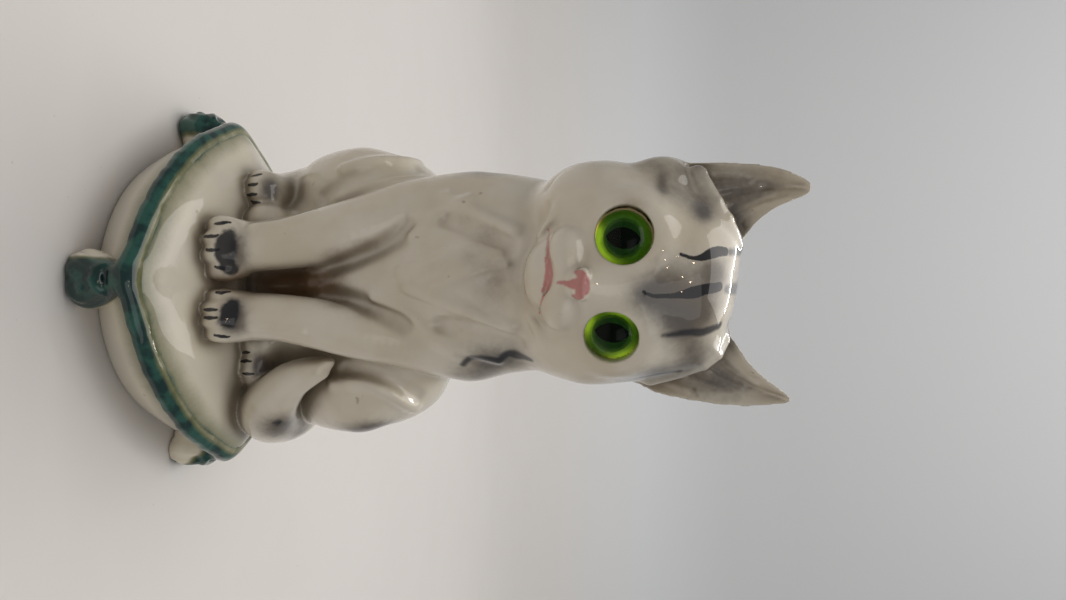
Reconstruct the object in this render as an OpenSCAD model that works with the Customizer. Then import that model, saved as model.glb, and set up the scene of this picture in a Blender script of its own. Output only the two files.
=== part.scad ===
// Ceramic kitten figurine, seated on a tasselled cushion.
// Millimetres. +Z is up, the kitten faces -Y, and its own left side is +X.
// The origin is on the table, under the middle of the figure's bounding box.
// The shells are slip-cast and hollow, and the eyes are glass domes held with cement.

/* [Walls] */
// Thickness of the cast porcelain
wall = 4; // [3:0.5:5]

/* [Cushion] */
// Centre of the figure to the outside of the piping, at a corner
corner_r = 59.5; // [58:0.5:60]
// Centre of the figure to the outside of the piping, between two corners
side_r = 53; // [52:0.5:54]
// Centre of the figure to the outside of the foot
foot_r = 46; // [44:0.5:47]
// Height of the piping above the table
seam_z = 18.5; // [18:0.5:19]
// Height of the cushion's crown above the table
crown_z = 29; // [28.5:0.5:29.5]
// Thickness of the piping cord
cord_d = 5; // [4:0.5:5.5]

/* [Head] */
// How far the head turns towards the kitten's left, in degrees
head_turn = 13; // [9:1:15]
// How far the head leans towards the kitten's left, in degrees
head_lean = 7; // [4:1:9]
// Outside diameter of a glass eye
eye_d = 16; // [15:0.5:16]
// Height of an eye's dome above its edge
eye_dome = 5; // [4:0.5:5.5]
// How far each eye looks outwards, in degrees
eye_splay = 12; // [8:1:14]

/* [Node] */
// Which piece to draw, or all of them

/* [Hidden] */

// Thickness of the discs that a loft is stretched between
disc = 0.02;
// Angle between two points of the cushion's outline, and of the piping's section
edge_step = 6;
cord_step = 36;

// Middle of the piping cord, at a corner and between two corners
cord_r = cord_d / 2;
corner_mid_r = corner_r - cord_r;
side_mid_r = side_r - cord_r;

// Cushion levels: [height, share of the way from foot to edge], then the dome
skirt_levels = [[0, 0], [2, 0.22], [5, 0.48], [9, 0.75], [13, 0.92], [seam_z, 1]];
// Dome levels: [share of the dome's height, share of the edge radius]
dome_levels = [[0, 1], [0.35, 0.93], [0.62, 0.82], [0.82, 0.66], [0.95, 0.44], [1, 0.2]];

// Tassel rings: [height, distance from the figure's centre, half width, half depth]
tassel_rings = [
    [0, 55, 7.6, 8.6], [3, 55.4, 8.3, 9.2], [8, 54.8, 7.7, 8], [12, 54.4, 6, 6.4],
    [15.5, 55, 4.4, 4.8], [17.5, 55.6, 4.6, 4.4], [20, 56, 4.4, 4], [21.8, 56, 2.6, 2.4]
];
tassel_folds = 7;
fold_depth = 0.07;
ring_step = 10;

// Torso levels: [height, centre x, centre y, half width, half depth]
torso_levels = [
    [24, 0, 14, 33, 25], [34, 0, 14, 36, 29], [48, 0, 14, 36, 30], [62, -0.5, 12, 35.5, 30],
    [76, -1, 8, 34, 30], [90, -2, 4, 33, 29], [102, -3, 1, 33, 27.5], [112, -3.5, -1, 32, 25.5],
    [121, -4, -2, 30, 23.5], [134, -4.5, -3, 27, 22], [143, -4, -2, 22, 19]
];

// Limb points, kitten's right side: [x, y, z, radius]
foreleg_right_points = [
    [-24, -6, 101, 13], [-22.5, -12, 84, 11.2], [-17, -20, 70, 8.6],
    [-12.6, -25, 51, 7], [-10.4, -27, 38, 7]
];
forepaw_right_points = [[-10.4, -25, 33, 7.2], [-13.6, -30.5, 31.5, 5.2], [-6.4, -31, 31.5, 5.2]];
// Limb points, kitten's left side
foreleg_left_points = [
    [18.5, -6, 101, 12.5], [14.5, -12, 84, 11.2], [14.5, -20, 70, 8.2],
    [11.5, -25, 51, 7], [10.2, -26, 38, 7]
];
forepaw_left_points = [[10, -24, 33, 7.2], [6.4, -29.5, 31.5, 5.2], [13.2, -29, 31.5, 5.2]];

// Folded hind leg, given for the right side and mirrored: hip, thigh, knee, shin
haunch_points = [
    [-24, 28, 58, 20], [-32, 16, 64, 20], [-38, 4, 68, 14], [-38, 8, 54, 11], [-38, 18, 42, 8.5]
];
// Hind foot, from hock to toes
hind_foot_points = [[-38, 22, 35, 8], [-37, 10, 34, 6.6], [-35, 2, 33, 6.8], [-34, -2, 31.5, 6.2]];

// Tail, from its root behind the figure to the tip in front
tail_points = [
    [6, 40, 38, 9], [24, 40, 36, 9.2], [37, 33, 36, 9.2], [46, 20, 36, 9.2], [48.5, 6, 36, 9],
    [45, -4, 36.5, 8.6], [38.5, -11, 41, 7.6], [32, -14, 48, 6], [27.5, -15.5, 56, 4.4], [25, -16, 62, 3]
];

// Middle of the head, and its masses in the head's own frame: [position, radii]
head_at = [-3, -9, 158.5];
head_masses = [
    [[0, 2, 2], [35, 31, 31]], [[-16, -5, -13], [19.5, 21, 18.5]], [[16, -5, -13], [19.5, 21, 18.5]],
    [[0, -22, -19], [14.5, 10.5, 9.5]], [[0, -22, -9], [7, 8.5, 10]], [[0, -18, -25], [9, 8, 7.5]],
    [[-13, -17, 2], [12, 9.5, 9]], [[13, -17, 2], [12, 9.5, 9]]
];
// Ear of the left side in the head's frame: outer skin and cup, [x, y, z, radius]
ear_skin = [[17.5, 2, 26, 4.5], [33, 3, 4, 5], [29, 8, 22, 5], [33.4, 1, 49.5, 1.8]];
ear_cup = [[21, -4.5, 27, 3.4], [33, -4, 10, 3.4], [33, -2, 42, 1]];

// Eye seats: cement lips, and the middle of the eye in the head's frame
eye_at = [14.1, -23, -4.7];
glass_edge = 1.5;
cement_w = 0.8;
cement_lip = 2.2;
cement_z = [-3, 0.6];
eye_gap = 0.1;
pupil_size = [5, 9, 0.7];
bore_reach = 20;
neck_bore_r = 14;

porcelain = [0.93, 0.92, 0.88];
tinted = [0.7, 0.7, 0.68];
green_glaze = [0.07, 0.27, 0.24];
green_glass = [0.25, 0.8, 0.1, 0.5];
black_glass = [0.02, 0.02, 0.02];
cement = [0.45, 0.3, 0.17];

function edge_shape(a) = pow(cos(2 * a), 6);
function mid_r(a) = side_mid_r + (corner_mid_r - side_mid_r) * edge_shape(a);
function skirt_r(a, share) = foot_r + (mid_r(a) - foot_r) * share;

// A thin slice of the cushion, drawn in by inset
module skirt_slice(level, inset) {
    translate([0, 0, level[0]])
        linear_extrude(disc)
            polygon([for (a = [0 : edge_step : 359]) (skirt_r(a, level[1]) - inset) * [cos(a), sin(a)]]);
}

module dome_slice(level, inset) {
    translate([0, 0, seam_z + (crown_z - seam_z - inset) * level[0]])
        linear_extrude(disc)
            polygon([for (a = [0 : edge_step : 359]) (mid_r(a) * level[1] - inset) * [cos(a), sin(a)]]);
}

// The cushion's outside, or its hollow when inset by the wall
module cushion_shape(inset = 0) {
    for (i = [0 : len(skirt_levels) - 2])
        hull() {
            skirt_slice(skirt_levels[i], inset);
            skirt_slice(skirt_levels[i + 1], inset);
        }
    for (i = [0 : len(dome_levels) - 2])
        hull() {
            dome_slice(dome_levels[i], inset);
            dome_slice(dome_levels[i + 1], inset);
        }
}

// One closed solid through a stack of rings with equal numbers of points
module skin(rings) {
    n = len(rings[0]);
    m = len(rings);
    polyhedron(
        points = [for (ring = rings) each ring],
        faces = [
            [for (j = [0 : n - 1]) j],
            [for (j = [n - 1 : -1 : 0]) (m - 1) * n + j],
            for (i = [0 : m - 2], j = [0 : n - 1])
                [i * n + j, (i + 1) * n + j, (i + 1) * n + (j + 1) % n, i * n + (j + 1) % n]
        ],
        convexity = 6
    );
}

// The cord that runs once round the cushion's edge
module piping_shape() {
    n = 360 / edge_step;
    m = 360 / cord_step;
    polyhedron(
        points = [
            for (i = [0 : n - 1], j = [0 : m - 1])
                let (a = i * edge_step, b = j * cord_step, r = mid_r(a) + cord_r * cos(b))
                    [r * cos(a), r * sin(a), seam_z + cord_r * sin(b)]
        ],
        faces = [
            for (i = [0 : n - 1], j = [0 : m - 1])
                [i * m + j, i * m + (j + 1) % m, ((i + 1) % n) * m + (j + 1) % m, ((i + 1) % n) * m + j]
        ],
        convexity = 6
    );
}

// A chain of balls, each joined to the next
module limb(points, detail = 20) {
    for (i = [0 : len(points) - 2])
        hull()
            for (p = [points[i], points[i + 1]])
                translate([p[0], p[1], p[2]])
                    sphere(r = p[3], $fn = detail);
}

// A smooth rounded mass
module mass(at, radii) {
    hull()
        translate(at)
            scale(radii)
                sphere(r = 1, $fn = 26);
}

module in_head() {
    translate(head_at)
        rotate([0, 0, head_turn])
            rotate([0, head_lean, 0])
                children();
}

// Puts +Z along the line of sight of the eye on one side: 1 is left, -1 is right
module in_eye(side) {
    in_head()
        translate([side * eye_at[0], eye_at[1], eye_at[2]])
            rotate([0, 0, side * eye_splay])
                rotate([90, 0, 0])
                    children();
}

module torso_slice(level, inset) {
    translate([level[1], level[2], level[0]])
        scale([level[3] - inset, level[4] - inset, 1])
            cylinder(r = 1, h = disc, $fn = 32);
}

module torso_shape(inset = 0) {
    for (i = [0 : len(torso_levels) - 2])
        hull() {
            torso_slice(torso_levels[i], inset);
            torso_slice(torso_levels[i + 1], inset);
        }
}

module head_shape() {
    in_head()
        for (m = head_masses)
            mass(m[0], m[1]);
}

module foreleg_shape(leg_points, paw_points) {
    limb(leg_points);
    hull()
        for (p = paw_points)
            translate([p[0], p[1], p[2]])
                sphere(r = p[3], $fn = 20);
}

module forelegs_shape() {
    foreleg_shape(foreleg_right_points, forepaw_right_points);
    foreleg_shape(foreleg_left_points, forepaw_left_points);
}

module on_side(side) {
    mirror([side > 0 ? 1 : 0, 0, 0])
        children();
}

// The neck hole that joins the head's hollow to the torso's
module neck_bore() {
    translate([head_at[0], head_at[1] + wall, torso_levels[8][0] - wall])
        cylinder(r = neck_bore_r, h = bore_reach + wall, $fn = 32);
}

module cushion() {
    color(porcelain)
        difference() {
            cushion_shape();
            cushion_shape(wall);
            piping_shape();
        }
}

module piping() {
    color(green_glaze)
        piping_shape();
}

// A corner tassel: knot on the piping, folded skirt down to the table
module tassel(turn) {
    color(green_glaze)
        difference() {
            rotate(turn)
                skin([
                    for (t = tassel_rings)
                        [for (a = [0 : ring_step : 359])
                            let (k = 1 + fold_depth * cos(tassel_folds * a))
                                [t[1] + t[3] * k * cos(a), t[2] * k * sin(a), t[0]]]
                ]);
            cushion_shape();
            piping_shape();
        }
}

module tassel_front() {
    tassel(-90);
}

module tassel_back() {
    tassel(90);
}

module tassel_left() {
    tassel(0);
}

module tassel_right() {
    tassel(180);
}

module torso() {
    color(porcelain)
        difference() {
            torso_shape();
            cushion_shape();
            head_shape();
            intersection() {
                torso_shape(wall);
                translate([-corner_r, -corner_r, crown_z + wall])
                    cube([2 * corner_r, 2 * corner_r, torso_levels[8][0] - crown_z - 2 * wall]);
            }
            neck_bore();
            translate([torso_levels[0][1], torso_levels[0][2], 0])
                cylinder(r = neck_bore_r, h = crown_z + 2 * wall, $fn = 32);
        }
}

module head() {
    color(porcelain)
        difference() {
            head_shape();
            in_head()
                mass(head_masses[0][0], head_masses[0][1] - [wall, wall, wall]);
            neck_bore();
            for (side = [-1, 1])
                in_eye(side)
                    translate([0, 0, -2 * wall])
                        cylinder(r = eye_d / 2 + cement_w + eye_gap, h = bore_reach, $fn = 48);
        }
}

module ear(side) {
    color(tinted)
        difference() {
            in_head()
                on_side(-side)
                    difference() {
                        hull()
                            for (p = ear_skin)
                                translate([p[0], p[1], p[2]])
                                    sphere(r = p[3], $fn = 20);
                        hull()
                            for (p = ear_cup)
                                translate([p[0], p[1], p[2]])
                                    sphere(r = p[3], $fn = 20);
                    }
            head_shape();
        }
}

module ear_left() {
    ear(1);
}

module ear_right() {
    ear(-1);
}

module foreleg(leg_points, paw_points) {
    color(porcelain)
        difference() {
            foreleg_shape(leg_points, paw_points);
            torso_shape();
            cushion_shape();
            head_shape();
        }
}

module foreleg_left() {
    foreleg(foreleg_left_points, forepaw_left_points);
}

module foreleg_right() {
    foreleg(foreleg_right_points, forepaw_right_points);
}

module haunch(side) {
    color(porcelain)
        difference() {
            on_side(side)
                limb(haunch_points, 26);
            torso_shape();
            cushion_shape();
            forelegs_shape();
        }
}

module haunch_left() {
    haunch(1);
}

module haunch_right() {
    haunch(-1);
}

module hind_paw(side) {
    color(porcelain)
        difference() {
            on_side(side)
                limb(hind_foot_points);
            on_side(side)
                limb(haunch_points, 26);
            torso_shape();
            cushion_shape();
            forelegs_shape();
        }
}

module hind_paw_left() {
    hind_paw(1);
}

module hind_paw_right() {
    hind_paw(-1);
}

module tail() {
    color(tinted)
        difference() {
            limb(tail_points);
            on_side(1)
                limb(haunch_points, 26);
            on_side(1)
                limb(hind_foot_points);
            torso_shape();
            cushion_shape();
            forelegs_shape();
        }
}

// A clear dome with a short straight edge and a flat back
module eye_glass(side) {
    dome_r = (pow(eye_d / 2, 2) + pow(eye_dome, 2)) / (2 * eye_dome);
    color(green_glass)
        in_eye(side)
            intersection() {
                translate([0, 0, -glass_edge])
                    cylinder(d = eye_d, h = glass_edge + bore_reach, $fn = 64);
                translate([0, 0, eye_dome - dome_r])
                    sphere(r = dome_r, $fn = 64);
            }
}

module eye_glass_left() {
    eye_glass(1);
}

module eye_glass_right() {
    eye_glass(-1);
}

// An upright slit where two circles cross
module eye_pupil(side) {
    half_w = pupil_size[0] / 2;
    half_h = pupil_size[1] / 2;
    slit_r = (pow(half_w, 2) + pow(half_h, 2)) / (2 * half_w);
    color(black_glass)
        in_eye(side)
            translate([0, 0, -glass_edge - pupil_size[2]])
                intersection() {
                    translate([slit_r - half_w, 0, 0])
                        cylinder(r = slit_r, h = pupil_size[2], $fn = 64);
                    translate([half_w - slit_r, 0, 0])
                        cylinder(r = slit_r, h = pupil_size[2], $fn = 64);
                }
}

module eye_pupil_left() {
    eye_pupil(1);
}

module eye_pupil_right() {
    eye_pupil(-1);
}

// A ring round the glass, with a lip behind it
module eye_cement(side) {
    color(cement)
        in_eye(side)
            difference() {
                translate([0, 0, cement_z[0]])
                    cylinder(r = eye_d / 2 + cement_w, h = cement_z[1] - cement_z[0], $fn = 64);
                translate([0, 0, -glass_edge])
                    cylinder(r = eye_d / 2 + eye_gap / 2, h = bore_reach, $fn = 64);
                translate([0, 0, cement_z[0] - wall])
                    cylinder(r = eye_d / 2 - cement_lip, h = bore_reach, $fn = 64);
            }
}

module eye_cement_left() {
    eye_cement(1);
}

module eye_cement_right() {
    eye_cement(-1);
}

cushion();
piping();
tassel_front();
tassel_back();
tassel_left();
tassel_right();
torso();
head();
ear_left();
ear_right();
foreleg_left();
foreleg_right();
haunch_left();
haunch_right();
hind_paw_left();
hind_paw_right();
tail();
eye_glass_left();
eye_glass_right();
eye_pupil_left();
eye_pupil_right();
eye_cement_left();
eye_cement_right();
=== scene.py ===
"""A glazed porcelain kitten on a tasselled cushion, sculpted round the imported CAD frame.

The clay work is in millimetres, in the CAD's own frame. Objects are made in metres.
The kitten's left side is +X, it faces -Y, and +Z is up.
"""
import math

import bpy
import numpy as np
import openvdb
from mathutils import Matrix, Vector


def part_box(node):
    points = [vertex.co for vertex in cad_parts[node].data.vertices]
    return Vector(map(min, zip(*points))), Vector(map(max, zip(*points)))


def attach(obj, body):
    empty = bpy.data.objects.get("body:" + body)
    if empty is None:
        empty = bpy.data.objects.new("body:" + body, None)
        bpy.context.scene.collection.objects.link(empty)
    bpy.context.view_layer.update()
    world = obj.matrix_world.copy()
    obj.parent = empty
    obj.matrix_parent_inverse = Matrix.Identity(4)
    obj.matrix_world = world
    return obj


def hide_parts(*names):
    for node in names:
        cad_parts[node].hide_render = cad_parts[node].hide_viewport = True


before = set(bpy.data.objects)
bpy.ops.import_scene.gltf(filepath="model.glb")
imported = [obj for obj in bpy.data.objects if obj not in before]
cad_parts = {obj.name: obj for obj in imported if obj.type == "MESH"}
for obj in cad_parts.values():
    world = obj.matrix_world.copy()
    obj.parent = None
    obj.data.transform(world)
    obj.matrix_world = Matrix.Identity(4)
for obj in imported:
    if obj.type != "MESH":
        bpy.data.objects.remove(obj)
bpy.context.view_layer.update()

MM = 0.001
BODY = "root"
# The step of the clay's grid, in millimetres
KITTEN_STEP, TRIM_STEP = ((0.6, 0.5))


# ---------------------------------------------------------------- places from the frame

def node_box(node):
    """Lowest and highest corner of a CAD node, in millimetres."""
    low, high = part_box(node)
    return np.array(low) / MM, np.array(high) / MM


def node_middle(node):
    low, high = node_box(node)
    return (low + high) / 2


def spin_z(degrees):
    c, s = math.cos(math.radians(degrees)), math.sin(math.radians(degrees))
    return np.array([[c, -s, 0], [s, c, 0], [0, 0, 1.0]])


def spin_y(degrees):
    c, s = math.cos(math.radians(degrees)), math.sin(math.radians(degrees))
    return np.array([[c, 0, s], [0, 1.0, 0], [-s, 0, c]])


def spin_x(degrees):
    c, s = math.cos(math.radians(degrees)), math.sin(math.radians(degrees))
    return np.array([[1.0, 0, 0], [0, c, -s], [0, s, c]])


HEAD_TURN = 13
HEAD_LEAN = 7
HEAD = spin_z(HEAD_TURN) @ spin_y(HEAD_LEAN)
EYE_AT = np.array([14.1, -23.0, -4.7])
EYE_SPLAY = 12
EYE_R = 8.0
# The middle of the two glasses' boxes, in the head's frame
EYES_MIDDLE = np.array([0, -24.7, -4.7])
HEAD_AT = (node_middle("eye_glass_left") + node_middle("eye_glass_right")) / 2 - HEAD @ EYES_MIDDLE

SEAM_Z = node_middle("piping")[2]
CROWN_Z = node_box("cushion")[1][2]
# Radius of the cushion's seam at its corners and midway between them
PIPING_STANDS_OUT = 2.5
CORNER_R = node_box("piping")[1][0] - PIPING_STANDS_OUT
SIDE_R = CORNER_R - 6.3
FOOT_R = 46.0
WALL = 4.0
NO_TURN = np.eye(3)


def on_head(x, y, z):
    """A point given in the head's frame."""
    return HEAD_AT + HEAD @ np.array([x, y, z], float)


def eye_turn(side):
    """Columns are the eye's own axes: across, up, and out along its line of sight."""
    return HEAD @ spin_z(side * EYE_SPLAY) @ spin_x(90)


def eye_middle(side):
    return on_head(side * EYE_AT[0], EYE_AT[1], EYE_AT[2])


# ---------------------------------------------------------------- clay

FAR = 20.0


def smooth_min(a, b, blend):
    if blend <= 0:
        return np.minimum(a, b)
    h = np.maximum(blend - np.abs(a - b), 0) / blend
    return np.minimum(a, b) - h * h * blend / 4


class Shape:
    """A signed distance and the box that it fills."""

    def __init__(self, distance, low, high):
        self.distance = distance
        self.low = np.array(low, float)
        self.high = np.array(high, float)


def egg(at, radii, turn=NO_TURN):
    """An ellipsoid."""
    at, radii = np.array(at, float), np.array(radii, float)
    reach = np.abs(turn) @ radii

    def distance(x, y, z):
        x, y, z = x - at[0], y - at[1], z - at[2]
        size, slope = 0.0, 0.0
        for i in range(3):
            q = (turn[0, i] * x + turn[1, i] * y + turn[2, i] * z) / radii[i]
            size = size + q * q
            slope = slope + (q / radii[i]) ** 2
        size, slope = np.sqrt(size), np.sqrt(slope)
        return size * (size - 1) / np.maximum(slope, 1e-6)

    return Shape(distance, at - reach, at + reach)


def tube(points, radii):
    """A chain of tapered rods."""
    points, radii = np.array(points, float), np.array(radii, float)

    def distance(x, y, z):
        best = None
        for a, b, ra, rb in zip(points[:-1], points[1:], radii[:-1], radii[1:]):
            d = b - a
            t = ((x - a[0]) * d[0] + (y - a[1]) * d[1] + (z - a[2]) * d[2]) / max(d @ d, 1e-9)
            t = np.clip(t, 0, 1)
            px, py, pz = x - a[0] - t * d[0], y - a[1] - t * d[1], z - a[2] - t * d[2]
            here = np.sqrt(px * px + py * py + pz * pz) - (ra + t * (rb - ra))
            best = here if best is None else np.minimum(best, here)
        return best

    wide = radii.max()
    return Shape(distance, points.min(0) - wide, points.max(0) + wide)


def rod(a, b, radius):
    """A round bar with flat ends."""
    a, b = np.array(a, float), np.array(b, float)
    length = np.linalg.norm(b - a)
    d = (b - a) / length

    def distance(x, y, z):
        x, y, z = x - a[0], y - a[1], z - a[2]
        along = x * d[0] + y * d[1] + z * d[2]
        out = np.sqrt(np.maximum(x * x + y * y + z * z - along * along, 0)) - radius
        return np.maximum(out, np.maximum(-along, along - length))

    return Shape(distance, np.minimum(a, b) - radius, np.maximum(a, b) + radius)


def curve(points, steps=6):
    """A smooth curve through rows of numbers: places, and any radius after them."""
    p = np.array(points, float)
    p = np.vstack([2 * p[0] - p[1], p, 2 * p[-1] - p[-2]])
    rows = []
    for i in range(1, len(p) - 2):
        for t in np.arange(steps) / steps:
            rows.append(0.5 * (2 * p[i] + (p[i + 1] - p[i - 1]) * t
                               + (2 * p[i - 1] - 5 * p[i] + 4 * p[i + 1] - p[i + 2]) * t * t
                               + (3 * p[i] - p[i - 1] - 3 * p[i + 1] + p[i + 2]) * t ** 3))
    rows.append(p[-2])
    return np.array(rows)


def limb(points):
    """A smooth tube through rows of place and radius."""
    rows = curve(points)
    return tube(rows[:, :3], rows[:, 3])


class Clay:
    """A block of signed distances that shapes are added to, cut from and swollen on."""

    def __init__(self, low, high, step):
        self.step = step
        self.low = np.array(low, float)
        count = np.ceil((np.array(high, float) - self.low) / step).astype(int) + 1
        self.axes = [(self.low[i] + step * np.arange(count[i])).astype(np.float32) for i in range(3)]
        self.field = np.full(count, FAR, np.float32)
        self.slopes = None

    def window(self, low, high):
        cut = []
        for i in range(3):
            a = max(0, int((low[i] - self.low[i]) / self.step))
            b = min(len(self.axes[i]), int((high[i] - self.low[i]) / self.step) + 2)
            cut.append(slice(a, max(a, b)))
        x, y, z = (self.axes[i][cut[i]] for i in range(3))
        return tuple(cut), x[:, None, None], y[None, :, None], z[None, None, :]

    def add(self, shape, blend=0.0, margin=None):
        margin = blend + 3 if margin is None else margin
        cut, x, y, z = self.window(shape.low - margin, shape.high + margin)
        self.field[cut] = smooth_min(self.field[cut], shape.distance(x, y, z), blend)

    def cut(self, shape, blend=0.0):
        cut, x, y, z = self.window(shape.low - blend - 3, shape.high + blend + 3)
        self.field[cut] = -smooth_min(-self.field[cut], shape.distance(x, y, z), blend)

    def swell(self, at, radii, height, turn=NO_TURN):
        """Raises the surface near a place by height, or sinks it where height is below 0."""
        at, radii = np.array(at, float), np.array(radii, float)
        reach = np.abs(turn) @ radii * 2.4
        cut, x, y, z = self.window(at - reach, at + reach)
        self.field[cut] -= height * bell(at, radii, turn, x, y, z)

    def crease(self, points, width, depth):
        """Presses a soft line into the surface, or raises one where depth is below 0."""
        points = np.array(points, float)
        line = tube(points, np.zeros(len(points)))
        reach = width * 2.4
        cut, x, y, z = self.window(points.min(0) - reach, points.max(0) + reach)
        self.field[cut] += depth * np.exp(-(line.distance(x, y, z) / width) ** 2)

    def settle(self, points, rounds=6):
        """Moves points that lie near the surface onto it."""
        points = np.array(points, float)
        for _ in range(rounds):
            value = self.sample(self.field, points)
            slope = np.stack([self.sample(self.field, points + d) - self.sample(self.field, points - d)
                              for d in np.eye(3) * self.step], -1) / (2 * self.step)
            size = np.maximum(np.linalg.norm(slope, axis=1), 0.3)
            points = points - np.clip(value / size, -3, 3)[:, None] * slope / size[:, None]
        return points

    def front(self, x, z):
        """The frontmost point of the clay at a place given by x and z."""
        i, k = (int(round((v - self.low[a]) / self.step)) for a, v in ((0, x), (2, z)))
        column = self.field[i, :, k]
        j = int(np.argmax(column < 0))
        rise = column[j - 1] / (column[j - 1] - column[j]) if j else 0
        return np.array([x, self.axes[1][max(j - 1, 0)] + rise * self.step, z])

    def sample(self, grid, points):
        """Values between the grid's places."""
        q = (points - self.low) / self.step
        base = np.clip(np.floor(q).astype(int), 0, np.array(grid.shape) - 2)
        t = np.clip(q - base, 0, 1)
        value = 0.0
        for i in (0, 1):
            for j in (0, 1):
                for k in (0, 1):
                    w = (abs(1 - i - t[:, 0])) * (abs(1 - j - t[:, 1])) * (abs(1 - k - t[:, 2]))
                    value = value + w * grid[base[:, 0] + i, base[:, 1] + j, base[:, 2] + k]
        return value

    def normals(self, points):
        if self.slopes is None:
            self.slopes = np.gradient(self.field, self.step)
        n = np.stack([self.sample(g, points) for g in self.slopes], -1)
        return n, np.linalg.norm(n, axis=1)

    def skin(self):
        """The surface as points, quads and outward normals."""
        band = 3 * self.step
        grid = openvdb.FloatGrid(band)
        grid.copyFromArray(np.clip(self.field, -band, band))
        points, quads = grid.convertToQuads(isovalue=0.0)
        points = self.low + self.step * points.astype(float)
        for _ in range(3):
            n, size = self.normals(points)
            size = np.maximum(size, 0.2)
            points -= np.clip(self.sample(self.field, points) / size, -1, 1)[:, None] * n / size[:, None]
        n, size = self.normals(points)
        n /= np.maximum(size, 1e-6)[:, None]
        p = points[quads]
        face = np.cross(p[:, 2] - p[:, 0], p[:, 3] - p[:, 1])
        if np.sum(face * n[quads[:, 0]]) < 0:
            quads = quads[:, ::-1]
        return points, quads, n


def bell(at, radii, turn, x, y, z):
    """1 at a place, falling softly to 0 past the radii."""
    x, y, z = x - at[0], y - at[1], z - at[2]
    q = 0.0
    for i in range(3):
        q = q + ((turn[0, i] * x + turn[1, i] * y + turn[2, i] * z) / radii[i]) ** 2
    return np.exp(-q)


# ---------------------------------------------------------------- cushion

class Outline:
    """Signed distances to a closed outline in a plane, kept as a table."""

    CELL = 0.25

    def __init__(self, ring, margin=8.0):
        ring = np.array(ring, float)
        self.low, high = ring.min(0) - margin, ring.max(0) + margin
        u = np.arange(self.low[0], high[0], self.CELL)[:, None]
        v = np.arange(self.low[1], high[1], self.CELL)[None, :]
        best, inside = np.full((u.size, v.size), 1e9), np.zeros((u.size, v.size), bool)
        for a, b in zip(ring, np.roll(ring, -1, 0)):
            d = b - a
            t = np.clip(((u - a[0]) * d[0] + (v - a[1]) * d[1]) / max(d @ d, 1e-9), 0, 1)
            best = np.minimum(best, (u - a[0] - t * d[0]) ** 2 + (v - a[1] - t * d[1]) ** 2)
            crosses = (a[1] > v) != (b[1] > v)
            inside ^= crosses & (u < a[0] + (v - a[1]) * d[0] / (d[1] if d[1] else 1e-9))
        self.table = np.where(inside, -np.sqrt(best), np.sqrt(best)).astype(np.float32)

    def at(self, u, v):
        p = np.clip((u - self.low[0]) / self.CELL, 0, self.table.shape[0] - 1.001)
        q = np.clip((v - self.low[1]) / self.CELL, 0, self.table.shape[1] - 1.001)
        p, q = np.broadcast_arrays(p, q)
        i, j = p.astype(int), q.astype(int)
        s, t = p - i, q - j
        return ((self.table[i, j] * (1 - s) + self.table[i + 1, j] * s) * (1 - t)
                + (self.table[i, j + 1] * (1 - s) + self.table[i + 1, j + 1] * s) * t)


def edge_r(angle):
    """Radius of the seam at an angle: nearly round, drawn out to a point at four corners."""
    point = np.exp(-np.sin(2 * angle) ** 2 / 0.11)
    return SIDE_R + (CORNER_R - SIDE_R) * 0.5 * (np.cos(2 * angle) ** 2 + point)


# The wall in section, as radius and height, for a seam of this radius
SECTION_R = 53.0
PAST_AXIS = -12.0
OUTSIDE = curve([(FOOT_R - 1.2, 0), (FOOT_R, 0.9), (48.0, 4), (50.6, 9), (52.4, 14), (SECTION_R, SEAM_Z),
                 (51.0, 21.4), (46, 24.0), (38, 26.6), (26, 28.5), (12, CROWN_Z), (PAST_AXIS, CROWN_Z)], 5)
INSIDE = curve([(PAST_AXIS, CROWN_Z - WALL), (12, CROWN_Z - WALL), (26, 24.4), (37, 22.4), (44.5, 20.2),
                (48.2, 17), (47.8, 13), (45.8, 8), (43, 3), (42, 0.8), (42.8, 0)], 5)
WALL_SECTION = Outline(np.vstack([OUTSIDE, INSIDE]))
FILLED_SECTION = Outline(np.vstack([OUTSIDE, [(PAST_AXIS, 0)]]))


def section_distance(section, x, y, z):
    share = np.clip(z / SEAM_Z, 0, 1)
    grow = 1 + (edge_r(np.arctan2(y, x)) / SECTION_R - 1) * share ** 0.8
    return section.at(np.hypot(x, y) / grow, z)


def cushion_distance(x, y, z):
    return section_distance(WALL_SECTION, x, y, z)


def cushion_shape():
    return Shape(cushion_distance, (-62, -62, -1), (62, 62, CROWN_Z + 1))


def inner_cushion_shape(depth):
    """Everything more than this depth under the cushion's outside."""
    return Shape(lambda x, y, z: section_distance(FILLED_SECTION, x, y, z) + depth,
                 (-60, -60, -5), (60, 60, CROWN_Z))


# ---------------------------------------------------------------- the kitten's parts

def torso_shapes():
    return [
        (egg((0, 15, 46), (36.5, 28, 33)), 0),
        (egg((-2, 11, 74), (35.5, 28, 32)), 10),
        (egg((-5, 2, 102), (34.2, 27, 29)), 10),
        (egg((-5.4, -2, 117), (32.4, 24, 24)), 8),
        (egg((-4.8, -3, 130), (29.6, 22, 20)), 8),
        # the keel of the chest, down to its point between the legs
        (limb([(-3.5, -16, 108, 12), (-2.6, -19, 92, 9.6), (-1.8, -19, 77, 6.4), (-1.4, -18, 66, 3.6),
               (-1.2, -16.5, 56, 2.0)]), 7),
        (egg((-21.5, -7, 34), (8, 9, 8)), 4),
        (egg((17.5, -7, 34), (8, 9, 8)), 4),
        # the web that closes the space between the forelegs
        (limb([(-1.6, -11, 84, 11), (-1.3, -9.5, 66, 9), (-1, -8, 50, 8), (-1, -7, 37, 8)]), 7),
    ]


def lump(at, radii, turn=NO_TURN):
    """An egg given in the head's frame."""
    return egg(on_head(*at), radii, HEAD @ turn)


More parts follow.
